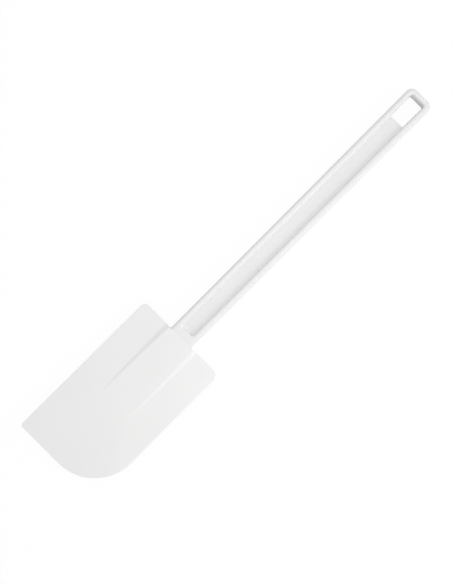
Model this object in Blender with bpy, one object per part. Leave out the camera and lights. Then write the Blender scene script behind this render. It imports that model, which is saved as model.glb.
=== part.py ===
"""Rubber spatula for a professional kitchen, lying flat, in metres with +Z up.

The moulded handle runs along Y to a hanging slot at its +Y end. It is a bar of H section: a crowned
rim all round, and a thin web between two long recesses. A flat tang on its -Y end goes into a socket in the
soft blade. Both faces of each piece are alike, so everything is built about a level middle plane.
"""

import math
from collections import namedtuple

import bmesh
import bpy

# Gap between the two pieces where they seat, and round the tang in its socket
FIT_GAP = 0.0003

# Handle, from its end face on the blade to its hanging end
HANDLE_LENGTH = 0.2304
HANDLE_THICKNESS = 0.008
NECK_WIDTH = 0.0194
END_WIDTH = 0.0203
END_CORNER_RADIUS = 0.0048

# Rim round the two recesses, at the top of their walls, and how its crown rounds over on both sides
RIM_WIDTH = 0.0044
END_RIM_WIDTH = 0.0042
NECK_LENGTH = 0.0058
OUTER_ROUND_WIDTH = 0.0018
OUTER_ROUND_HEIGHT = 0.0014
INNER_ROUND_WIDTH = 0.0015
INNER_ROUND_HEIGHT = 0.001

# Recesses of the handle, alike on both faces, and the web left between them
WEB_THICKNESS = 0.0024
WALL_DRAFT = 0.0001
FLOOR_FILLET = 0.0006
RECESS_CORNER_RADIUS = 0.0007

# Hanging slot, cut through the web from wall to wall, with a mere ledge left along the walls' feet
SLOT_LENGTH = 0.0199
SLOT_LEDGE = 0.0001
SLOT_CORNER_RADIUS = 0.001

# Tang of the handle
TANG_LENGTH = 0.055
TANG_ROOT_WIDTH = 0.017
TANG_TIP_WIDTH = 0.014
TANG_CORNER_RADIUS = 0.003
TANG_EDGE_CHAMFER = 0.0004

# Blade seen from above, with its heel at the handle and one full round at the tip
BLADE_LENGTH = 0.1193
HEEL_WIDTH = 0.0703
TIP_WIDTH = 0.0713
SWEEP_RADIUS = 0.035
TIP_CORNER_RADIUS = 0.0023
HEEL_SWEEP_SIDE_RADIUS = 0.0048
HEEL_PLAIN_SIDE_RADIUS = 0.0035

# Thickness of the blade: a raised panel over the tang, between two wings that thin to the sides
RUBBER_WALL = 0.0014
TIP_THICKNESS = 0.002
WING_ROOT_THICKNESS = 0.0044
SIDE_THICKNESS = 0.0026
PANEL_TOP_WIDTH = 0.022
PANEL_BASE_WIDTH = 0.0298
PANEL_END_WIDTH = 0.0262
BLADE_EDGE_RADIUS = 0.0005

# Fineness of the rounds
CORNER_STEPS = 6
SWEEP_STEPS = 18
FILLET_STEPS = 4
EDGE_STEPS = 3

# A cutter runs this far past the face that it cuts
OVERSHOOT = 0.002

# Surface colours, as linear RGB, with roughness
HANDLE_COLOUR = (0.84, 0.84, 0.84, 1.0)
HANDLE_ROUGHNESS = 0.35
BLADE_COLOUR = (0.86, 0.86, 0.855, 1.0)
BLADE_ROUGHNESS = 0.55

Bar = namedtuple("Bar", "low_y high_y low_width high_width low_radius high_radius")


def clear_scene():
    """Start from an empty scene."""
    for old in list(bpy.data.objects):
        bpy.data.objects.remove(old, do_unlink=True)


def plastic_material(name, colour, roughness):
    """A plain moulded surface with the piece's colour."""
    material = bpy.data.materials.new(name)
    material.use_nodes = True
    shader = material.node_tree.nodes["Principled BSDF"]
    shader.inputs["Base Color"].default_value = colour
    shader.inputs["Roughness"].default_value = roughness
    shader.inputs["Metallic"].default_value = 0.0
    return material


def object_from(bm, name, material=None):
    """Turn the bmesh into an object, with its faces pointing out."""
    bmesh.ops.recalc_face_normals(bm, faces=bm.faces)
    mesh = bpy.data.meshes.new(name)
    bm.to_mesh(mesh)
    bm.free()
    made = bpy.data.objects.new(name, mesh)
    bpy.context.scene.collection.objects.link(made)
    if material:
        mesh.materials.append(material)
        mesh.shade_smooth()
        mesh.set_sharp_from_angle(angle=math.radians(25))
    return made


def quarter_arc(centre_x, centre_y, radius, start, steps):
    """Points of a quarter circle, anticlockwise from the angle start."""
    angles = [start + 0.5 * math.pi * step / steps for step in range(steps + 1)]
    return [(centre_x + radius * math.cos(a), centre_y + radius * math.sin(a)) for a in angles]


def rounded_outline(low_y, high_y, low_width, high_width, radii, steps):
    """A four-sided outline about the Y axis with rounded corners.

    radii and steps are for the low left, low right, high right and high left corners.
    """
    corners = (
        (-low_width / 2, low_y, 1, 1, math.pi),
        (low_width / 2, low_y, -1, 1, 1.5 * math.pi),
        (high_width / 2, high_y, -1, -1, 0.0),
        (-high_width / 2, high_y, 1, -1, 0.5 * math.pi),
    )
    points = []
    for (x, y, inward_x, inward_y, start), radius, count in zip(corners, radii, steps):
        points += quarter_arc(x + inward_x * radius, y + inward_y * radius, radius, start, count)
    return points


def grown(bar, by, at_low_end=True):
    """The bar's outline moved outwards, or inwards if by is below zero."""
    return Bar(
        bar.low_y - (by if at_low_end else 0.0),
        bar.high_y + by,
        bar.low_width + 2 * by,
        bar.high_width + 2 * by,
        max(bar.low_radius + (by if at_low_end else 0.0), FIT_GAP / 2),
        max(bar.high_radius + by, FIT_GAP / 2),
    )


def bar_ring(bar, height):
    """The bar's outline as points in space. height gives z at each y."""
    radii = (bar.low_radius, bar.low_radius, bar.high_radius, bar.high_radius)
    outline = rounded_outline(
        bar.low_y, bar.high_y, bar.low_width, bar.high_width, radii, (CORNER_STEPS,) * 4
    )
    return [(x, y, height(y)) for x, y in outline]


def loft(rings):
    """A closed body through the rings, which run from the lowest to the highest."""
    bm = bmesh.new()
    loops = []
    for ring in rings:
        verts = [bm.verts.new(point) for point in ring]
        loops.append([bm.edges.new(pair) for pair in zip(verts, verts[1:] + verts[:1])])
    for lower, upper in zip(loops, loops[1:]):
        bmesh.ops.bridge_loops(bm, edges=lower + upper)
    bmesh.ops.contextual_create(bm, geom=loops[0])
    bmesh.ops.contextual_create(bm, geom=loops[-1])
    return bm


def add_boolean(target, other, operation):
    """Join or cut target with a helper object that isn't itself part of the model."""
    other.hide_render = True
    other.display_type = "WIRE"
    other.parent = target
    step = target.modifiers.new(other.name, "BOOLEAN")
    step.operation = operation
    step.solver = "EXACT"
    step.object = other


def panel_half(y):
    """Half the thickness of the blade's middle panel, with y measured from the heel."""
    drop = (HANDLE_THICKNESS - TIP_THICKNESS) / 2 / BLADE_LENGTH
    return HANDLE_THICKNESS / 2 + drop * min(y, 0.0)


def wing_half(x):
    """Half the thickness of a wing, x from the middle of the blade."""
    root_x = PANEL_BASE_WIDTH / 2
    side_x = TIP_WIDTH / 2
    drop = (WING_ROOT_THICKNESS - SIDE_THICKNESS) / 2 / (side_x - root_x)
    return WING_ROOT_THICKNESS / 2 - drop * (abs(x) - root_x)


def web_floor():
    """The flat floor of a recess. It runs on over the hanging slot to the rim at the end."""
    foot = WALL_DRAFT + FLOOR_FILLET
    low_y = NECK_LENGTH + foot
    high_y = HANDLE_LENGTH - END_RIM_WIDTH - foot

    def width(y):
        return NECK_WIDTH + (END_WIDTH - NECK_WIDTH) * y / HANDLE_LENGTH - 2 * (RIM_WIDTH + foot)

    return Bar(low_y, high_y, width(low_y), width(high_y), RECESS_CORNER_RADIUS, RECESS_CORNER_RADIUS)


def quarter_round(width, height, steps):
    """Steps of a quarter ellipse that starts level, as distances across and down."""
    turns = [0.5 * math.pi * step / steps for step in range(steps + 1)]
    return [(width * math.sin(turn), height * (1 - math.cos(turn))) for turn in turns]


def handle_body():
    """The handle's outside, with a rounded rim and a flat end face at the neck."""
    bar = Bar(0.0, HANDLE_LENGTH, NECK_WIDTH, END_WIDTH, FIT_GAP, END_CORNER_RADIUS)
    crown = quarter_round(OUTER_ROUND_WIDTH, OUTER_ROUND_HEIGHT, EDGE_STEPS)
    levels = [(across - OUTER_ROUND_WIDTH, HANDLE_THICKNESS / 2 - drop) for across, drop in crown]
    levels = [(grow, -z) for grow, z in levels] + list(reversed(levels))
    return loft([bar_ring(grown(bar, grow, False), lambda y, z=z: z) for grow, z in levels])


def recess_cutter(face):
    """What is taken out of one face: face is 1 for the upper and -1 for the lower."""
    fillet = quarter_round(FLOOR_FILLET, FLOOR_FILLET, FILLET_STEPS)
    levels = [(grow, WEB_THICKNESS / 2 + rise) for grow, rise in fillet]
    mouth = FLOOR_FILLET + WALL_DRAFT + INNER_ROUND_WIDTH
    crown = quarter_round(INNER_ROUND_WIDTH, INNER_ROUND_HEIGHT, EDGE_STEPS)
    levels += [(mouth - across, HANDLE_THICKNESS / 2 - drop) for across, drop in reversed(crown)]
    levels.append((mouth, HANDLE_THICKNESS / 2 + OVERSHOOT))
    return loft([bar_ring(grown(web_floor(), grow), lambda y, z=z: face * z) for grow, z in levels])


def slot_cutter():
    """The hanging slot, which opens the web from wall to wall."""
    floor = grown(web_floor(), FLOOR_FILLET - SLOT_LEDGE)
    reach = WEB_THICKNESS / 2 + FLOOR_FILLET + OVERSHOOT / 4
    taper = (floor.high_width - floor.low_width) / (floor.high_y - floor.low_y)
    slot = floor._replace(
        low_y=floor.high_y - SLOT_LENGTH,
        low_width=floor.high_width - taper * SLOT_LENGTH,
        low_radius=SLOT_CORNER_RADIUS,
        high_radius=SLOT_CORNER_RADIUS,
    )
    return loft([bar_ring(slot, lambda y, z=z: z) for z in (-reach, reach)])


def tang_form(clearance, root_y):
    """The flat tang, whose faces stay one rubber wall below the panel, grown by a clearance.

    root_y is how far its wide end runs into what carries or clears it.
    """
    taper = (TANG_ROOT_WIDTH - TANG_TIP_WIDTH) / TANG_LENGTH
    bar = Bar(
        -TANG_LENGTH,
        root_y,
        TANG_TIP_WIDTH,
        TANG_ROOT_WIDTH + taper * root_y,
        TANG_CORNER_RADIUS,
        FIT_GAP,
    )

    def half(y, inset):
        return panel_half(y + FIT_GAP) - RUBBER_WALL - FIT_GAP + clearance - inset

    full = grown(bar, clearance)
    slim = grown(bar, clearance - TANG_EDGE_CHAMFER)
    return loft(
        [
            bar_ring(slim, lambda y: -half(y, 0.0)),
            bar_ring(full, lambda y: -half(y, TANG_EDGE_CHAMFER)),
            bar_ring(full, lambda y: half(y, TANG_EDGE_CHAMFER)),
            bar_ring(slim, lambda y: half(y, 0.0)),
        ]
    )


def make_handle(seat_y):
    """The handle in one piece with its tang. Its origin is the middle of its end face."""
    white = plastic_material("handle_plastic", HANDLE_COLOUR, HANDLE_ROUGHNESS)
    handle = object_from(handle_body(), "handle", white)
    handle.location = (0.0, seat_y, HANDLE_THICKNESS / 2)
    add_boolean(handle, object_from(recess_cutter(1), "upper_recess"), "DIFFERENCE")
    add_boolean(handle, object_from(recess_cutter(-1), "lower_recess"), "DIFFERENCE")
    add_boolean(handle, object_from(slot_cutter(), "hanging_slot"), "DIFFERENCE")
    add_boolean(handle, object_from(tang_form(0.0, NECK_LENGTH / 2), "tang"), "UNION")
    return handle


def knife(bm, start, end, wanted):
    """Cut the faces whose middles are wanted along the upright plane through start and end."""
    faces = [face for face in bm.faces if wanted(face.calc_center_median())]
    edges = list({edge for face in faces for edge in face.edges})
    verts = list({vert for face in faces for vert in face.verts})
    normal = (end[1] - start[1], start[0] - end[0], 0.0)
    bmesh.ops.bisect_plane(
        bm, geom=verts + edges + faces, dist=1e-7, plane_co=(start[0], start[1], 0.0), plane_no=normal
    )


def panel_fade_y():
    """Where the panel has sunk to the wings, and its two shoulders end."""
    drop = (HANDLE_THICKNESS - TIP_THICKNESS) / 2 / BLADE_LENGTH
    return (wing_half(PANEL_END_WIDTH / 2) - HANDLE_THICKNESS / 2) / drop


def half_thickness(x, y):
    """Half the blade's thickness at a point: panel, shoulder or wing."""
    panel = panel_half(y)
    wing = wing_half(x)
    fade_y = panel_fade_y()
    if y <= fade_y:
        return min(panel, wing)
    share = y / fade_y
    top_x = (PANEL_TOP_WIDTH + (PANEL_END_WIDTH - PANEL_TOP_WIDTH) * share) / 2
    base_x = (PANEL_BASE_WIDTH + (PANEL_END_WIDTH - PANEL_BASE_WIDTH) * share) / 2
    if abs(x) <= top_x:
        return panel
    if abs(x) >= base_x:
        return wing
    return panel + (wing_half(base_x) - panel) * (abs(x) - top_x) / (base_x - top_x)


def blade_plan():
    """The blade seen from above, cut along the creases where its slopes meet."""
    radii = (TIP_CORNER_RADIUS, SWEEP_RADIUS, HEEL_SWEEP_SIDE_RADIUS, HEEL_PLAIN_SIDE_RADIUS)
    steps = (CORNER_STEPS, SWEEP_STEPS, CORNER_STEPS, CORNER_STEPS)
    outline = rounded_outline(-BLADE_LENGTH, 0.0, TIP_WIDTH, HEEL_WIDTH, radii, steps)
    bm = bmesh.new()
    bm.faces.new([bm.verts.new((x, y, 0.0)) for x, y in outline])
    fade_y = panel_fade_y()
    side_x = TIP_WIDTH / 2
    tip_side_y = (wing_half(side_x) - HANDLE_THICKNESS / 2) / (panel_half(0.0) - panel_half(-1.0))
    knife(bm, (-side_x, fade_y), (side_x, fade_y), lambda middle: True)
    for side in (-1, 1):
        end = (side * PANEL_END_WIDTH / 2, fade_y)
        knife(bm, (side * PANEL_TOP_WIDTH / 2, 0.0), end, lambda middle: middle.y > fade_y)
        knife(bm, (side * PANEL_BASE_WIDTH / 2, 0.0), end, lambda middle: middle.y > fade_y)
        knife(bm, end, (side * side_x, tip_side_y), lambda middle: middle.y < fade_y)
    return bm


def blade_body():
    """The blade's outside: its plan pulled up and down to the thickness at each point."""
    bm = blade_plan()
    lower = list(bm.verts)
    pulled = bmesh.ops.extrude_face_region(bm, geom=list(bm.faces), use_keep_orig=True)
    for vert in lower:
        vert.co.z = -half_thickness(vert.co.x, vert.co.y)
    for vert in [item for item in pulled["geom"] if isinstance(item, bmesh.types.BMVert)]:
        vert.co.z = half_thickness(vert.co.x, vert.co.y)
    return bm


def make_blade(seat_y):
    """The soft blade on an empty at its socket's mouth, from which it is drawn off the tang."""
    slide = bpy.data.objects.new("blade_slide_axis", None)
    slide.location = (0.0, seat_y - FIT_GAP, HANDLE_THICKNESS / 2)
    bpy.context.scene.collection.objects.link(slide)
    rubber = plastic_material("blade_rubber", BLADE_COLOUR, BLADE_ROUGHNESS)
    blade = object_from(blade_body(), "blade", rubber)
    blade.parent = slide
    edges = blade.modifiers.new("rounded_edges", "BEVEL")
    edges.width = BLADE_EDGE_RADIUS
    edges.segments = 2
    edges.limit_method = "ANGLE"
    edges.angle_limit = math.radians(50)
    socket = object_from(tang_form(FIT_GAP, OVERSHOOT), "socket")
    add_boolean(blade, socket, "DIFFERENCE")
    socket.location = (0.0, FIT_GAP, 0.0)
    return blade


def build_spatula():
    """Both pieces, with the middle of the spatula's length over the origin."""
    clear_scene()
    overall = BLADE_LENGTH + FIT_GAP + HANDLE_LENGTH
    seat_y = overall / 2 - HANDLE_LENGTH
    make_handle(seat_y)
    make_blade(seat_y)


build_spatula()
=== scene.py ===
# %% [markdown]
# # A white rubber spatula
#
# The tool is two mouldings: a stiff plastic handle, and a soft rubber blade that sits on a flat
# tang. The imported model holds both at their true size, with few faces. This lesson models each of
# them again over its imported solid, with rounds and soft creases that catch the light, and gives
# each its own finish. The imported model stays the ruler: every place below is read from it.

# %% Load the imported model
import math

import bmesh
import bpy
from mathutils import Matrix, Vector


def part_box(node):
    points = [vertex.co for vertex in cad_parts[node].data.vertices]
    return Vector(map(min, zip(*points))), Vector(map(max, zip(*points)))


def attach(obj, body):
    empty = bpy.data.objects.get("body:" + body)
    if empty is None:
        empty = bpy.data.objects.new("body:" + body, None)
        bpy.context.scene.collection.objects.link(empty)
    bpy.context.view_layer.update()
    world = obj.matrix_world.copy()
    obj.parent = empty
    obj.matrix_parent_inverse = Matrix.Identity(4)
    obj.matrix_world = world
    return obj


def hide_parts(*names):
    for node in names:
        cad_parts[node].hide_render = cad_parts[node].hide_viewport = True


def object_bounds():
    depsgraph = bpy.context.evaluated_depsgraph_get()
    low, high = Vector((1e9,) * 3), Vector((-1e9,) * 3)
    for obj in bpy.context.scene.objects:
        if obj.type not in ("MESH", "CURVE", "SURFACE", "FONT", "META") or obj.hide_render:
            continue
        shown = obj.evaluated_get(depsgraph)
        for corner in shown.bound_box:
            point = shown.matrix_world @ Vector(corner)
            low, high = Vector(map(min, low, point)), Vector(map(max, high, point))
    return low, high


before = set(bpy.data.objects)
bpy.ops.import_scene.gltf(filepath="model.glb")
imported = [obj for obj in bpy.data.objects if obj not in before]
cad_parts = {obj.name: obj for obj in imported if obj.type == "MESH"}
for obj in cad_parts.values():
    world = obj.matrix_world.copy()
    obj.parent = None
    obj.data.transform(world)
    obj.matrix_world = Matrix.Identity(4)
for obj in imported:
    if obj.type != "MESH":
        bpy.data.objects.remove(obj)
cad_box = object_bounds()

MM = 0.001


def in_mm(values, digits=1):
    """Lengths in millimetres, rounded for printing."""
    return [round(value / MM, digits) for value in values]


handle_low, handle_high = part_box("handle")
blade_low, blade_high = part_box("blade")
print("packed nodes:", sorted(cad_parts))
print("handle box in mm:", in_mm((*handle_low, *handle_high)))

# %% [markdown]
# ## Where the two pieces meet
#
# Both pieces are drawn about one level plane through the middle of their thickness, each with
# y = 0 at the end that meets the other. Drawing them there keeps the sizes easy to read. Each mesh
# is moved to its true place at the end, so that its object can stay at the origin. On the real
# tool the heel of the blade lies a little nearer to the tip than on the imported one. Its rubber is
# pressed against the neck, so the seam left here is only a hair.

# %% The shared middle plane and the seat
thickness = handle_high.z - handle_low.z
half_thick = thickness / 2
middle_z = (handle_high.z + handle_low.z) / 2
heel_back = 0.3 * MM
heel_y = blade_high.y - heel_back
blade_length = heel_y - blade_low.y
seam = 0.01 * MM
seat_y = heel_y + seam
handle_length = handle_high.y - seat_y
print("thickness, blade and handle in mm:", in_mm((thickness, blade_length, handle_length)))


# %% [markdown]
# ## A sheet with rounded corners
#
# Nearly every outline here is the same figure: a four-cornered sheet, a little wider at one end,
# with its corners rounded. It starts as a grid of one square. Its four corners are moved, and each
# is then bevelled as a vertex, which turns it into an arc. A profile of 0.5 is a true circle.

# %% Helpers for sheets
def rounded_sheet(bm, low_y, high_y, low_width, high_width, radii, steps, z=0.0):
    """A flat face about the Y axis. Radii and steps: low left, low right, high left, high right."""
    before = set(bm.faces)
    corners = bmesh.ops.create_grid(bm, x_segments=1, y_segments=1, size=0.5)["verts"]
    for vert in corners:
        high = vert.co.y > 0
        width = high_width if high else low_width
        vert.co = Vector((math.copysign(width / 2, vert.co.x), high_y if high else low_y, z))
    for vert, radius, count in zip(corners, radii, steps):
        if radius > 0:
            bmesh.ops.bevel(
                bm,
                geom=[vert],
                offset=radius,
                segments=count,
                profile=0.5,
                affect="VERTICES",
                material=-1,
            )
    return next(face for face in bm.faces if face not in before)


def verts_of(geom):
    """The vertices among what an operator returned."""
    return [item for item in geom if isinstance(item, bmesh.types.BMVert)]


def faces_of(geom):
    """The faces among what an operator returned."""
    return [item for item in geom if isinstance(item, bmesh.types.BMFace)]


def everything(bm):
    """All vertices, edges and faces, as some operators take them."""
    return bm.verts[:] + bm.edges[:] + bm.faces[:]


# %% Helpers for flat places
Y_AXIS = 1
Z_AXIS = 2
SAME_PLACE = 1e-7


def in_plane(verts, axis, value):
    """Whether all the vertices lie in the plane where the coordinate has that value."""
    return all(abs(vert.co[axis] - value) < SAME_PLACE for vert in verts)


def fill_flat(bm, axis, value):
    """Fill between the open loops in one plane, and return the new faces."""
    normal = [0.0, 0.0, 0.0]
    normal[axis] = 1.0
    at_rim = [edge for edge in bm.edges if len(edge.link_faces) == 1]
    edges = [edge for edge in at_rim if in_plane(edge.verts, axis, value)]
    made = bmesh.ops.triangle_fill(
        bm, edges=edges, use_beauty=True, use_dissolve=False, normal=normal
    )
    return faces_of(made["geom"])


def in_mm2(faces):
    """The area of the faces, in square millimetres."""
    return round(sum(face.calc_area() for face in faces) / MM**2, 1)


def print_mesh(name, bm):
    """Print how many faces a mesh has, and how many of its edges are open."""
    open_count = sum(not edge.is_manifold for edge in bm.edges)
    print(f"{name}: {len(bm.faces)} faces, {open_count} open edges")


# %% [markdown]
# ## Pressing a sheet in, step by step
#
# Every round and wall on these mouldings follows an outline. So a sheet is drawn, and what is
# inside its edge is inset and then lifted or sunk, again and again. Each step adds a narrow band
# of faces along the outline. Steps that follow a quarter of a superellipse make a round: at a
# power of 2 it is a true circle, and at a higher one it is flatter on top, like the crown of a
# moulded rim.

# %% Helpers for pressing in
CIRCLE_POWER = 2.0


def press_in(bm, face, width, depth):
    """Inset the face by the width and sink it by the depth, or lift it by a negative one."""
    bmesh.ops.inset_region(
        bm, faces=[face], thickness=width, use_boundary=True, use_even_offset=True
    )
    bmesh.ops.translate(bm, verts=list(face.verts), vec=(0.0, 0.0, -depth))


def press_round(bm, face, width, depth, power, steps, level_first):
    """Press in along a quarter of a superellipse that starts level, like an edge, or upright."""
    turns = [0.5 * math.pi * step / steps for step in range(steps + 1)]
    fast = [math.sin(turn) ** (2 / power) for turn in turns]
    slow = [1 - math.cos(turn) ** (2 / power) for turn in turns]
    across, down = (fast, slow) if level_first else (slow, fast)
    for step in range(steps):
        part_across = across[step + 1] - across[step]
        part_down = down[step + 1] - down[step]
        press_in(bm, face, width * part_across, depth * part_down)


# %% [markdown]
# ## The outside of the handle
#
# The handle is the same above and below its middle plane, so only the upper half is modelled and
# then mirrored. The outline goes up the side, which leans in by a hair, and over the crown of the
# rim. At the neck it starts a little too low and is cut off square later, so that the crown runs
# out straight against the blade.

# %% Upper half of the handle's outside
neck_width = 19.1 * MM
end_width = handle_high.x - handle_low.x
end_corner = 4.8 * MM
end_corner_steps = 20
side_lean = 0.05 * MM
crown_width = 2.2 * MM
crown_height = 2.4 * MM
crown_power = 2.3
crown_steps = 12
neck_spare = 6.0 * MM


def handle_width(y):
    """Full width of the handle at a distance from its neck."""
    return neck_width + (end_width - neck_width) * y / handle_length


handle = bmesh.new()
outline = rounded_sheet(
    handle,
    -neck_spare,
    handle_length,
    handle_width(-neck_spare),
    handle_width(handle_length),
    (0, 0, end_corner, end_corner),
    (end_corner_steps,) * 4,
)
press_in(handle, outline, side_lean, -(half_thick - crown_height))
press_round(
    handle, outline, crown_width, -crown_height, crown_power, crown_steps, level_first=False
)
for vert in outline.verts:
    vert.co.z = half_thick
bmesh.ops.delete(handle, geom=[outline], context="FACES_ONLY")
print("outside of the handle:", len(handle.faces), "faces")


# %% [markdown]
# ## The long recess
#
# Between the rails the moulding is sunk to a thin web. The crown of the rim runs down into a wall
# that leans out a little, so that the part leaves its mould, and a small fillet joins it to the
# floor. One more sheet is drawn at the top and pressed in. On this tool it sits a little aside, so
# that one rail is narrower than the other. A flat fill then joins the outside and the recess. It
# suits them better than a bridge, which can twist between two long loops that have unlike corners.

# %% Sink the recess and fill the rim
rim_flat = 0.3 * MM
end_flat = 0.1 * MM
neck_length = 4.3 * MM
inner_width = 1.7 * MM
inner_height = 1.6 * MM
wall_lean = 0.1 * MM
floor_fillet = 0.5 * MM
fillet_steps = 6
web_half = 1.2 * MM
mouth_corners = (4.2 * MM, 4.2 * MM, 3.2 * MM, 3.2 * MM)
corner_steps = 12
recess_aside = -0.2 * MM

crest = side_lean + crown_width
mouth_high = handle_length - crest - end_flat
mouth_widths = [handle_width(y) - 2 * (crest + rim_flat) for y in (neck_length, mouth_high)]
recess = rounded_sheet(
    handle,
    neck_length,
    mouth_high,
    *mouth_widths,
    mouth_corners,
    (corner_steps,) * 4,
    z=half_thick,
)
bmesh.ops.translate(handle, verts=recess.verts, vec=(recess_aside, 0.0, 0.0))
press_round(
    handle, recess, inner_width, inner_height, crown_power, crown_steps, level_first=True
)
press_in(handle, recess, wall_lean, half_thick - web_half - inner_height - floor_fillet)
press_round(
    handle, recess, floor_fillet, floor_fillet, CIRCLE_POWER, fillet_steps, level_first=False
)
for vert in recess.verts:
    vert.co.z = web_half
rim_faces = fill_flat(handle, Z_AXIS, half_thick)
print("rim:", len(rim_faces), "faces,", in_mm2(rim_faces), "mm2")
print("floor of the recess:", in_mm2([recess]), "mm2")

# %% [markdown]
# ## The lower half, and the tang
#
# The spare length at the neck is cut off, the half is mirrored down, and its open edges on the
# middle plane weld to their own images. The tang then grows from the neck: a flat tongue whose
# faces slope together towards its tip, as the panel of the blade does above it. It is seen only
# when the blade is drawn off. Its body is made by a helper, because the blade's socket has the same
# form.

# %% The body of the tang
tang_length = 55.0 * MM
tang_root_width = 17.0 * MM
tang_tip_width = 14.0 * MM
tang_corner = 3.0 * MM
tang_edge_round = 0.4 * MM
tang_round_steps = 4
rubber_wall = 1.4 * MM
seat_gap = 0.3 * MM
tip_thick = 2.0 * MM
SHARP_ANGLE = math.radians(50)


def panel_half(y):
    """Half the thickness of the blade's middle panel, y from its heel."""
    return half_thick + (thickness - tip_thick) / 2 * min(y, 0.0) / blade_length


def tang_body(bm, grow, root_y):
    """The tongue, larger by grow all round, with its wide end at root_y."""
    taper = (tang_root_width - tang_tip_width) / tang_length
    tip_y = -tang_length - grow
    widths = (tang_tip_width + 2 * grow, tang_root_width + taper * root_y + 2 * grow)
    corners = (tang_corner + grow, tang_corner + grow, 0, 0)
    sheet = rounded_sheet(bm, tip_y, root_y, *widths, corners, (corner_steps,) * 4)
    lower = list(sheet.verts)
    upper = verts_of(bmesh.ops.extrude_face_region(bm, geom=[sheet])["geom"])
    for verts, side in ((lower, -1), (upper, 1)):
        for vert in verts:
            vert.co.z = side * (panel_half(vert.co.y) - rubber_wall - seat_gap + grow)
    edges = {edge for vert in lower + upper for edge in vert.link_edges}
    kept = [edge for edge in edges if not in_plane(edge.verts, Y_AXIS, root_y)]
    bmesh.ops.bevel(
        bm,
        geom=[edge for edge in kept if edge.calc_face_angle(0.0) > SHARP_ANGLE],
        offset=tang_edge_round,
        segments=tang_round_steps,
        profile=0.5,
        affect="EDGES",
        material=-1,
    )


# %% Mirror the half and add the tang
WELD = 1e-6

bmesh.ops.bisect_plane(
    handle,
    geom=everything(handle),
    dist=SAME_PLACE,
    plane_co=(0.0, 0.0, 0.0),
    plane_no=(0.0, 1.0, 0.0),
    clear_inner=True,
)
bmesh.ops.mirror(handle, geom=everything(handle), axis="Z", merge_dist=WELD)
tang_body(handle, 0.0, 0.0)
root_faces = [face for face in handle.faces if in_plane(face.verts, Y_AXIS, 0.0)]
bmesh.ops.delete(handle, geom=root_faces, context="FACES_ONLY")
end_faces = fill_flat(handle, Y_AXIS, 0.0)
print("end face round the tang:", in_mm2(end_faces), "mm2")
print_mesh("handle", handle)


# %% [markdown]
# ## The hanging slot
#
# At the far end the web is cut away, right up to the walls of the rim. A Boolean cuts it, as its
# sides run down through the fillet. Its result is made the mesh at once, so that no cutter is left
# in the scene. The blade's socket is cut with the same helper.

# %% Helper for cutting
def without(bm, cutter):
    """The body less the cutter, as a new bmesh."""
    helpers = []
    for part, name in ((bm, "uncut"), (cutter, "cutter")):
        bmesh.ops.recalc_face_normals(part, faces=part.faces)
        mesh = bpy.data.meshes.new(name)
        part.to_mesh(mesh)
        part.free()
        helper = bpy.data.objects.new(name, mesh)
        bpy.context.scene.collection.objects.link(helper)
        helpers.append(helper)
    step = helpers[0].modifiers.new("cut", "BOOLEAN")
    step.operation = "DIFFERENCE"
    step.solver = "EXACT"
    step.object = helpers[1]
    result = bmesh.new()
    result.from_object(helpers[0], bpy.context.evaluated_depsgraph_get())
    for helper in helpers:
        mesh = helper.data
        bpy.data.objects.remove(helper)
        bpy.data.meshes.remove(mesh)
    return result


# %% Cut the slot through the web
slot_length = 19.9 * MM
slot_corners = (1.3 * MM, 1.3 * MM, 1.1 * MM, 1.1 * MM)
slot_corner_steps = 8
slot_clear = 0.1 * MM

wall_foot = crest + rim_flat + inner_width + wall_lean + slot_clear
slot_high = handle_length - crest - end_flat - inner_width - wall_lean - slot_clear
slot_low = slot_high - slot_length
slot_widths = [handle_width(y) - 2 * wall_foot for y in (slot_low, slot_high)]
slot = bmesh.new()
slot_sheet = rounded_sheet(
    slot,
    slot_low,
    slot_high,
    *slot_widths,
    slot_corners,
    (slot_corner_steps,) * 4,
    z=-half_thick,
)
slot_top = bmesh.ops.extrude_face_region(slot, geom=[slot_sheet])
bmesh.ops.translate(slot, verts=verts_of(slot_top["geom"]), vec=(0.0, 0.0, thickness))
bmesh.ops.translate(slot, verts=slot.verts, vec=(recess_aside, 0.0, 0.0))
handle = without(handle, slot)
print("slot, long and wide in mm:", in_mm((slot_length, *slot_widths), 2))
print_mesh("handle", handle)


# %% [markdown]
# ## Finish a mesh and hand it to its body
#
# Both pieces end alike: doubles merged, normals turned outwards, and the mesh carried to its place
# while the object stays at the origin. A Weighted Normal modifier lets the large flat faces keep
# their own shading next to the small rounds. On this tool the handle sits a little to one side of
# the blade's middle, so its mesh is moved aside first.

# %% Make the object of the handle
def finished(bm, name, node, origin_y):
    """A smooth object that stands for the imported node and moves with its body."""
    bmesh.ops.remove_doubles(bm, verts=bm.verts, dist=WELD)
    bmesh.ops.recalc_face_normals(bm, faces=bm.faces)
    bmesh.ops.translate(bm, verts=bm.verts, vec=(0.0, origin_y, middle_z))
    mesh = bpy.data.meshes.new(name)
    bm.to_mesh(mesh)
    bm.free()
    mesh.shade_smooth()
    mesh.set_sharp_from_angle(angle=SHARP_ANGLE)
    piece = bpy.data.objects.new(name, mesh)
    bpy.context.scene.collection.objects.link(piece)
    weigh = piece.modifiers.new("weighted_normals", "WEIGHTED_NORMAL")
    weigh.keep_sharp = True
    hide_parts(node)
    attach(piece, node)
    return piece


handle_aside = -0.65 * MM
bmesh.ops.translate(handle, verts=handle.verts, vec=(handle_aside, 0.0, 0.0))
moulded_handle = finished(handle, "moulded_handle", "handle", seat_y)
print("moulded_handle in mm:", in_mm(moulded_handle.dimensions))


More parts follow.
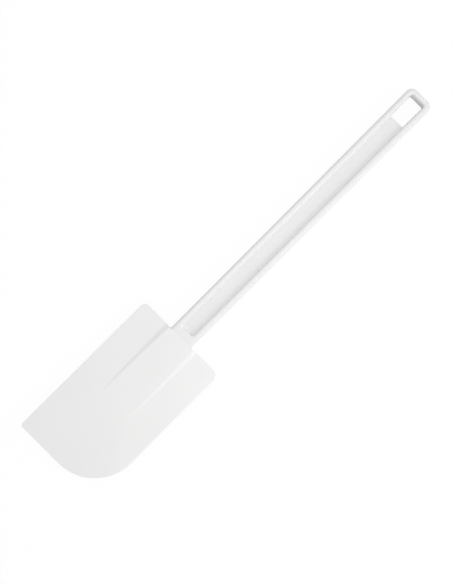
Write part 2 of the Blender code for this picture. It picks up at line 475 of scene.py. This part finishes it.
# %% [markdown]
# ## The shape of the blade
#
# The rubber is thickest over the tang. A raised panel slopes evenly from the handle's thickness at
# the heel to 2 mm at the tip. A wing on each side is thinner and slopes to the side edge. Two
# shoulders join panel and wings, draw in a little at the heel, and die out about half way down,
# where the panel has sunk to the wings. From there a soft crease runs outwards on each side. One
# formula gives the thickness at every point, and its small blends are what makes the creases soft,
# as they are in rubber.

# %% Sizes of the blade
# Each shoulder runs from a top to a foot, and is never narrower than the least slope.
tip_width = blade_high.x - blade_low.x
heel_width = 70.3 * MM
wing_root_thick = 4.4 * MM
side_thick = 2.6 * MM
panel_top_width = 22.0 * MM
panel_base_width = 29.8 * MM
panel_end_width = 26.2 * MM
least_slope = 0.1 * MM
crease_blend = 0.1 * MM
corner_pull = 0.9 * MM
corner_reach = 3.6 * MM


# %% Thickness of the blade at a point
def wing_half(x):
    """Half the thickness of a wing at a distance from the middle."""
    share = (abs(x) - panel_base_width / 2) / ((tip_width - panel_base_width) / 2)
    return (wing_root_thick + (side_thick - wing_root_thick) * share) / 2


# Where the sloping panel has sunk to the height of the wings.
fade_y = (wing_half(panel_end_width / 2) - half_thick) * 2 * blade_length / (thickness - tip_thick)


def smaller(a, b, blend):
    """The smaller of two heights, with the corner between them rounded."""
    share = min(max(0.5 + 0.5 * (b - a) / blend, 0.0), 1.0)
    return b + (a - b) * share - blend * share * (1 - share)


def half_at(x, y):
    """Half the blade's thickness at a point of its plan."""
    panel = panel_half(y)
    base = smaller(panel, wing_half(x), crease_blend)
    down = min(y / fade_y, 1.0)
    pull = corner_pull * max(1 + y / corner_reach, 0.0) ** 2
    top_x = (panel_top_width + (panel_end_width - panel_top_width) * down) / 2 - pull
    foot_x = (panel_base_width + (panel_end_width - panel_base_width) * down) / 2 - pull
    foot_x += least_slope
    across = min(max((foot_x - abs(x)) / (foot_x - top_x), 0.0), 1.0)
    rise = across * across * (3 - 2 * across)
    return base + max(panel - base, 0.0) * rise


print("shoulders end", *in_mm([-fade_y]), "mm below the heel")

# %% [markdown]
# ## Model the blade from its plan
#
# The plan is a sheet with three small corners and one big sweep. Narrow rings inset along its edge
# become the rounded edge. Rings and inside are then knifed into a fine net, closer where the
# shoulders run and at the heel, so that the edge too can follow the heights. Then the whole plan
# is doubled, and each copy is lifted or sunk to its height.

# %% Plan and edge rings
sweep_radius = 35.0 * MM
tip_corner = 2.3 * MM
heel_corner_plain = 3.5 * MM
heel_corner_sweep = 4.8 * MM
plan_steps = (10, 60, 10, 12)
edge_radius = 0.3 * MM
edge_rings = 4

blade = bmesh.new()
edge_drop = blade.verts.layers.float.new("edge_drop")
plan = rounded_sheet(
    blade,
    -blade_length,
    0.0,
    tip_width,
    heel_width,
    (tip_corner, sweep_radius, heel_corner_plain, heel_corner_sweep),
    plan_steps,
)
for vert in plan.verts:
    vert[edge_drop] = edge_radius
for ring in range(edge_rings):
    turn_from = 0.5 * math.pi * ring / edge_rings
    turn_to = 0.5 * math.pi * (ring + 1) / edge_rings
    press_in(blade, plan, edge_radius * (math.cos(turn_from) - math.cos(turn_to)), 0.0)
    for vert in plan.verts:
        vert[edge_drop] = edge_radius * (1 - math.sin(turn_to))
print("plan of the blade:", len(blade.faces), "faces")

# %% Knife the plan into a net
net_pitch = 1.6 * MM
heel_zone = 3.2 * MM
heel_pitch = 0.4 * MM
shoulder_from = 10.0 * MM
shoulder_to = 15.6 * MM
shoulder_pitch = 0.4 * MM


def stations(low, high, pitch):
    """Evenly spaced values between two limits, both left out."""
    count = max(round((high - low) / pitch), 1)
    return [low + (high - low) * step / count for step in range(1, count)]


def knifed(bm, faces, point, normal):
    """Cut the faces along an upright plane and return them all."""
    edges = list({edge for face in faces for edge in face.edges})
    verts = list({vert for face in faces for vert in face.verts})
    cut = bmesh.ops.bisect_plane(
        bm, geom=verts + edges + faces, dist=WELD, plane_co=point, plane_no=normal
    )
    return faces_of(cut["geom"])


side_cuts = stations(0.0, shoulder_from, net_pitch)
side_cuts += stations(shoulder_from - shoulder_pitch, shoulder_to + shoulder_pitch, shoulder_pitch)
side_cuts += stations(shoulder_to, tip_width / 2, net_pitch)
length_cuts = stations(-blade_length, -heel_zone, net_pitch)
length_cuts += stations(-heel_zone - heel_pitch, 0.0, heel_pitch)
net = blade.faces[:]
for x in [-cut for cut in side_cuts] + [0.0] + side_cuts:
    net = knifed(blade, net, (x, 0.0, 0.0), (1.0, 0.0, 0.0))
for y in length_cuts:
    net = knifed(blade, net, (0.0, y, 0.0), (0.0, 1.0, 0.0))
print("net of the blade:", len(net), "faces")

# %% [markdown]
# ## Lift the two faces of the blade
#
# Doubling the plan makes the side wall at the same time. The heel keeps a crisp edge where the
# neck meets it, because the two pieces lie flush there, and the real seam hardly shows. Beside the
# neck the wall of the heel leans a little, as moulded walls do, so the rows of the lower face near
# the heel are drawn towards the tip.

# %% Both faces at their heights
flush_half = neck_width / 2
flush_blend = 1.0 * MM
flush_reach = 2 * edge_radius
heel_lean = 0.12


def beside_neck(x):
    """0 where the heel meets the neck, and 1 a little way to its side."""
    return min(max((abs(x - handle_aside) - flush_half) / flush_blend, 0.0), 1.0)


def lifted(vert):
    """Height of a vertex above the middle plane, with the edge rounded down except on the neck."""
    x, y = vert.co.x, vert.co.y
    drop = vert[edge_drop]
    if y > -flush_reach:
        drop *= beside_neck(x)
    return half_at(x, y) - drop


def leaned(vert):
    """The y of a vertex of the lower face, drawn towards the tip where it is near the heel."""
    x, y = vert.co.x, vert.co.y
    near = max(1 + y / heel_zone, 0.0)
    return y - 2 * half_at(x, 0.0) * heel_lean * near * beside_neck(x)


lower_verts = list(blade.verts)
upper_verts = verts_of(bmesh.ops.extrude_face_region(blade, geom=blade.faces[:])["geom"])
for vert in lower_verts:
    vert.co.z = -lifted(vert)
    vert.co.y = leaned(vert)
for vert in upper_verts:
    vert.co.z = lifted(vert)
print_mesh("blade", blade)

# %% [markdown]
# ## Open the socket
#
# The tang's place in the rubber is the tang's own form, a little larger all round. Its wide end
# stands out past the heel, so that the cut leaves an open mouth.

# %% Cut the socket and finish the blade
mouth_spare = 2.0 * MM

socket = bmesh.new()
tang_body(socket, seat_gap, mouth_spare)
bmesh.ops.translate(socket, verts=socket.verts, vec=(handle_aside, 0.0, 0.0))
blade = without(blade, socket)
rubber_blade = finished(blade, "rubber_blade", "blade", heel_y)
print("rubber_blade in mm:", in_mm(rubber_blade.dimensions))


# %% [markdown]
# ## Finishes
#
# Both materials are white and read Object coordinates, which are metres here, so a noise of scale
# 1000 has grains of about a millimetre. The handle is stiff plastic with a satin skin, and takes
# its fine orange-peel from the mould. The rubber is duller, with a finer grain and a trace of
# cloudiness. White rubber lets a little light in, so it gets a small share of subsurface
# scattering. Noise alone would swing too far for a clean moulding, so its values are mapped to a
# narrow range before they reach the shader.

# %% Material helpers
def link(tree, source, output, target, entry):
    """Join an output socket to an input socket."""
    tree.links.new(source.outputs[output], target.inputs[entry])


def noise(tree, place, scale, detail):
    """A noise that reads the given coordinates."""
    node = tree.nodes.new("ShaderNodeTexNoise")
    node.inputs["Scale"].default_value = scale
    node.inputs["Detail"].default_value = detail
    link(tree, place, "Object", node, "Vector")
    return node


def between(tree, source, low, high):
    """Turn the middle range of a noise into values from low to high."""
    node = tree.nodes.new("ShaderNodeMapRange")
    node.inputs["From Min"].default_value = 0.3
    node.inputs["From Max"].default_value = 0.7
    node.inputs["To Min"].default_value = low
    node.inputs["To Max"].default_value = high
    link(tree, source, "Fac", node, "Value")
    return node


def shade_of_white(tree, source, dark, light):
    """A colour that drifts between two whites with the middle range of a noise."""
    node = tree.nodes.new("ShaderNodeValToRGB")
    node.color_ramp.elements[0].position = 0.35
    node.color_ramp.elements[0].color = (*dark, 1.0)
    node.color_ramp.elements[1].position = 0.65
    node.color_ramp.elements[1].color = (*light, 1.0)
    link(tree, source, "Fac", node, "Fac")
    return node


def relief(tree, source, height, after=None):
    """A bump of the given height in metres, on top of an earlier one."""
    node = tree.nodes.new("ShaderNodeBump")
    node.inputs["Strength"].default_value = 1.0
    node.inputs["Distance"].default_value = height
    link(tree, source, "Fac", node, "Height")
    if after:
        link(tree, after, "Normal", node, "Normal")
    return node


def new_finish(name):
    """A new finish: its material, its tree, its shader and its Object coordinates."""
    material = bpy.data.materials.new(name)
    material.use_nodes = True
    tree = material.node_tree
    place = tree.nodes.new("ShaderNodeTexCoord")
    return material, tree, tree.nodes["Principled BSDF"], place


# %% Satin plastic of the handle
def satin_plastic():
    """White moulded plastic: faint drift of tone, uneven gloss, orange-peel and fine skin."""
    material, tree, shader, place = new_finish("satin_white_plastic")
    drift = noise(tree, place, scale=22.0, detail=2.0)
    white = shade_of_white(tree, drift, (0.749, 0.750, 0.753), (0.759, 0.759, 0.761))
    link(tree, white, "Color", shader, "Base Color")
    patches = noise(tree, place, scale=90.0, detail=3.0)
    gloss = between(tree, patches, low=0.42, high=0.50)
    link(tree, gloss, "Result", shader, "Roughness")
    coarse = noise(tree, place, scale=420.0, detail=2.0)
    peel = relief(tree, coarse, height=0.004 * MM)
    fine = noise(tree, place, scale=3200.0, detail=2.0)
    skin = relief(tree, fine, height=0.003 * MM, after=peel)
    link(tree, skin, "Normal", shader, "Normal")
    shader.inputs["IOR"].default_value = 1.49
    return material


moulded_handle.data.materials.append(satin_plastic())
print("finish of the handle:", moulded_handle.data.materials[0].name)


# %% Soft white rubber of the blade
def soft_rubber():
    """White moulded rubber: faint clouds, a dull skin, slow waves and fine grain."""
    material, tree, shader, place = new_finish("soft_white_rubber")
    clouds = noise(tree, place, scale=35.0, detail=3.0)
    white = shade_of_white(tree, clouds, (0.790, 0.790, 0.787), (0.800, 0.800, 0.797))
    link(tree, white, "Color", shader, "Base Color")
    patches = noise(tree, place, scale=140.0, detail=3.0)
    gloss = between(tree, patches, low=0.60, high=0.70)
    link(tree, gloss, "Result", shader, "Roughness")
    coarse = noise(tree, place, scale=160.0, detail=2.0)
    wave = relief(tree, coarse, height=0.01 * MM)
    fine = noise(tree, place, scale=2600.0, detail=3.0)
    grain = relief(tree, fine, height=0.006 * MM, after=wave)
    link(tree, grain, "Normal", shader, "Normal")
    shader.inputs["IOR"].default_value = 1.45
    shader.inputs["Subsurface Weight"].default_value = 0.08
    shader.inputs["Subsurface Radius"].default_value = (1.0, 1.0, 1.0)
    shader.inputs["Subsurface Scale"].default_value = 1.5 * MM
    return material


rubber_blade.data.materials.append(soft_rubber())
print("finish of the blade:", rubber_blade.data.materials[0].name)


# %% [markdown]
# ## The floor
#
# The spatula lies on a plain white floor that reaches past every view. A floor lit brightly enough
# to look white would throw too much light back at the tool. So its material asks the Light Path
# node what kind of ray arrives. The camera sees plain white there, and so do gloss and clear
# things, while the light that bounces meets a middle grey. A small share of the lit surface stays
# in what is seen, and that share keeps the soft shadow.

# %% A floor that is seen as white
def seen_directly(tree):
    """1 for rays of the camera, in gloss and through clear things, and 0 for bounced light."""
    rays = tree.nodes.new("ShaderNodeLightPath")
    seen = rays.outputs["Is Camera Ray"]
    for name in ("Is Glossy Ray", "Is Transmission Ray"):
        either = tree.nodes.new("ShaderNodeMath")
        either.operation = "MAXIMUM"
        tree.links.new(seen, either.inputs[0])
        link(tree, rays, name, either, 1)
        seen = either.outputs["Value"]
    return seen


def white_floor():
    """A pale surface that is seen as plain white and still takes a soft shadow."""
    bounced_grey = (0.42, 0.42, 0.42, 1.0)
    seen_white = (0.95, 0.95, 0.95, 1.0)
    glow_share = 0.94
    material, tree, shader, place = new_finish("white_floor")
    tree.nodes.remove(place)
    shader.inputs["Roughness"].default_value = 0.9
    shader.inputs["Specular IOR Level"].default_value = 0.0
    seen = seen_directly(tree)
    # On a mix of colours, sockets 6 and 7 are A and B, and output 2 is the result.
    tint = tree.nodes.new("ShaderNodeMix")
    tint.data_type = "RGBA"
    tint.inputs[6].default_value = bounced_grey
    tint.inputs[7].default_value = seen_white
    tree.links.new(seen, tint.inputs["Factor"])
    tree.links.new(tint.outputs[2], shader.inputs["Base Color"])
    glow = tree.nodes.new("ShaderNodeEmission")
    glow.inputs["Color"].default_value = (1.0, 1.0, 1.0, 1.0)
    glow.inputs["Strength"].default_value = 1.0
    share = tree.nodes.new("ShaderNodeMath")
    share.operation = "MULTIPLY"
    share.inputs[1].default_value = glow_share
    tree.links.new(seen, share.inputs[0])
    mix = tree.nodes.new("ShaderNodeMixShader")
    link(tree, share, "Value", mix, "Fac")
    tree.links.new(shader.outputs["BSDF"], mix.inputs[1])
    tree.links.new(glow.outputs["Emission"], mix.inputs[2])
    link(tree, mix, "Shader", tree.nodes["Material Output"], "Surface")
    return material


# %% Lay the floor
floor_reach = 4.0
floor_gap = 0.05 * MM

floor_mesh = bmesh.new()
bmesh.ops.create_grid(floor_mesh, x_segments=1, y_segments=1, size=floor_reach)
bmesh.ops.translate(floor_mesh, verts=floor_mesh.verts, vec=(0.0, 0.0, cad_box[0].z - floor_gap))
floor_data = bpy.data.meshes.new("floor")
floor_mesh.to_mesh(floor_data)
floor_mesh.free()
floor_data.materials.append(white_floor())
floor_piece = bpy.data.objects.new("floor", floor_data)
bpy.context.scene.collection.objects.link(floor_piece)
print("floor at z =", *in_mm([floor_data.vertices[0].co.z], 2), "mm")


# %% [markdown]
# ## Light
#
# An even white sky gives most of the light, so that a colour renders about as it is written. Five
# soft lamps add the slight shading that shows the form of a white thing on white. The key lamp
# stands on the side of the swept corner, towards the handle's end, with a smaller and lower one
# close to the tool on the same side. A weak lamp on the other side keeps the shadows open, one
# hangs overhead, and one stands low beyond the handle's end. All five are wide panels, because
# small hard lamps would draw sharp shadows, and plain studio light has none.

# %% Sky and lamps
def white_sky(strength):
    """An even sky, seen as plain white by the camera, in gloss and through clear things."""
    world = bpy.data.worlds.new("white_sky")
    world.use_nodes = True
    tree = world.node_tree
    sky = tree.nodes["Background"]
    sky.inputs["Color"].default_value = (1.0, 1.0, 1.0, 1.0)
    level = tree.nodes.new("ShaderNodeMix")
    level.inputs["A"].default_value = strength
    level.inputs["B"].default_value = 1.0
    tree.links.new(seen_directly(tree), level.inputs["Factor"])
    tree.links.new(level.outputs["Result"], sky.inputs["Strength"])
    bpy.context.scene.world = world


def soft_lamp(name, place, target, size, power):
    """A square lamp that faces the target, with its size in metres and its power in watts."""
    data = bpy.data.lights.new(name, "AREA")
    data.size = size
    data.energy = power
    lamp = bpy.data.objects.new(name, data)
    lamp.location = place
    lamp.rotation_euler = (Vector(target) - Vector(place)).to_track_quat("-Z", "Y").to_euler()
    bpy.context.scene.collection.objects.link(lamp)
    print(name, "lamp", round(lamp.location.length, 2), "m from the middle of the spatula")


white_sky(strength=0.735)
soft_lamp("key", (0.60, 0.44, 0.34), (0.0, 0.0, 0.0), size=0.6, power=0.90)
soft_lamp("side", (0.38, 0.07, 0.20), (0.0, -0.03, 0.0), size=0.25, power=0.47)
soft_lamp("fill", (-0.60, 0.20, 0.50), (0.0, 0.0, 0.0), size=0.5, power=0.46)
soft_lamp("top", (0.05, 0.02, 0.50), (0.05, 0.02, 0.0), size=0.3, power=0.47)
soft_lamp("low", (0.14, 0.79, 0.12), (0.0, 0.0, 0.0), size=0.25, power=0.17)

# %% [markdown]
# ## Camera
#
# The camera looks straight down from close above, and is turned by an eighth of a circle, so that
# the spatula lies across the picture from lower left to upper right. The far wall of the hanging
# slot just shows from there. The lens is worked out from the length that the spatula has in the
# picture. The sensor's width belongs to the longer side of the picture.

# %% Place the camera
picture_height_px = 584
length_in_picture_px = 515.0
sensor_width_mm = 36.0
camera_height = 0.46
camera_ahead = -12.5 * MM
camera_aside = -1.0 * MM
camera_turn = math.radians(45.0)

spatula_length = cad_box[1].y - cad_box[0].y
view_height = picture_height_px * spatula_length / length_in_picture_px
camera_data = bpy.data.cameras.new("camera")
camera_data.sensor_width = sensor_width_mm
camera_data.lens = sensor_width_mm * (camera_height - middle_z) / view_height
camera = bpy.data.objects.new("camera", camera_data)
camera.location = (camera_aside, camera_ahead, camera_height)
camera.rotation_euler = (0.0, 0.0, camera_turn)
bpy.context.scene.collection.objects.link(camera)
bpy.context.scene.camera = camera
bpy.context.scene.view_settings.view_transform = "Standard"
print("lens", round(camera_data.lens, 1), "mm")

# %% [markdown]
# ## Hand over
#
# The box of the imported model is written at the end.

# %% Write the imported box and finish
print("packed size in mm:", in_mm(cad_box[1] - cad_box[0], 2))
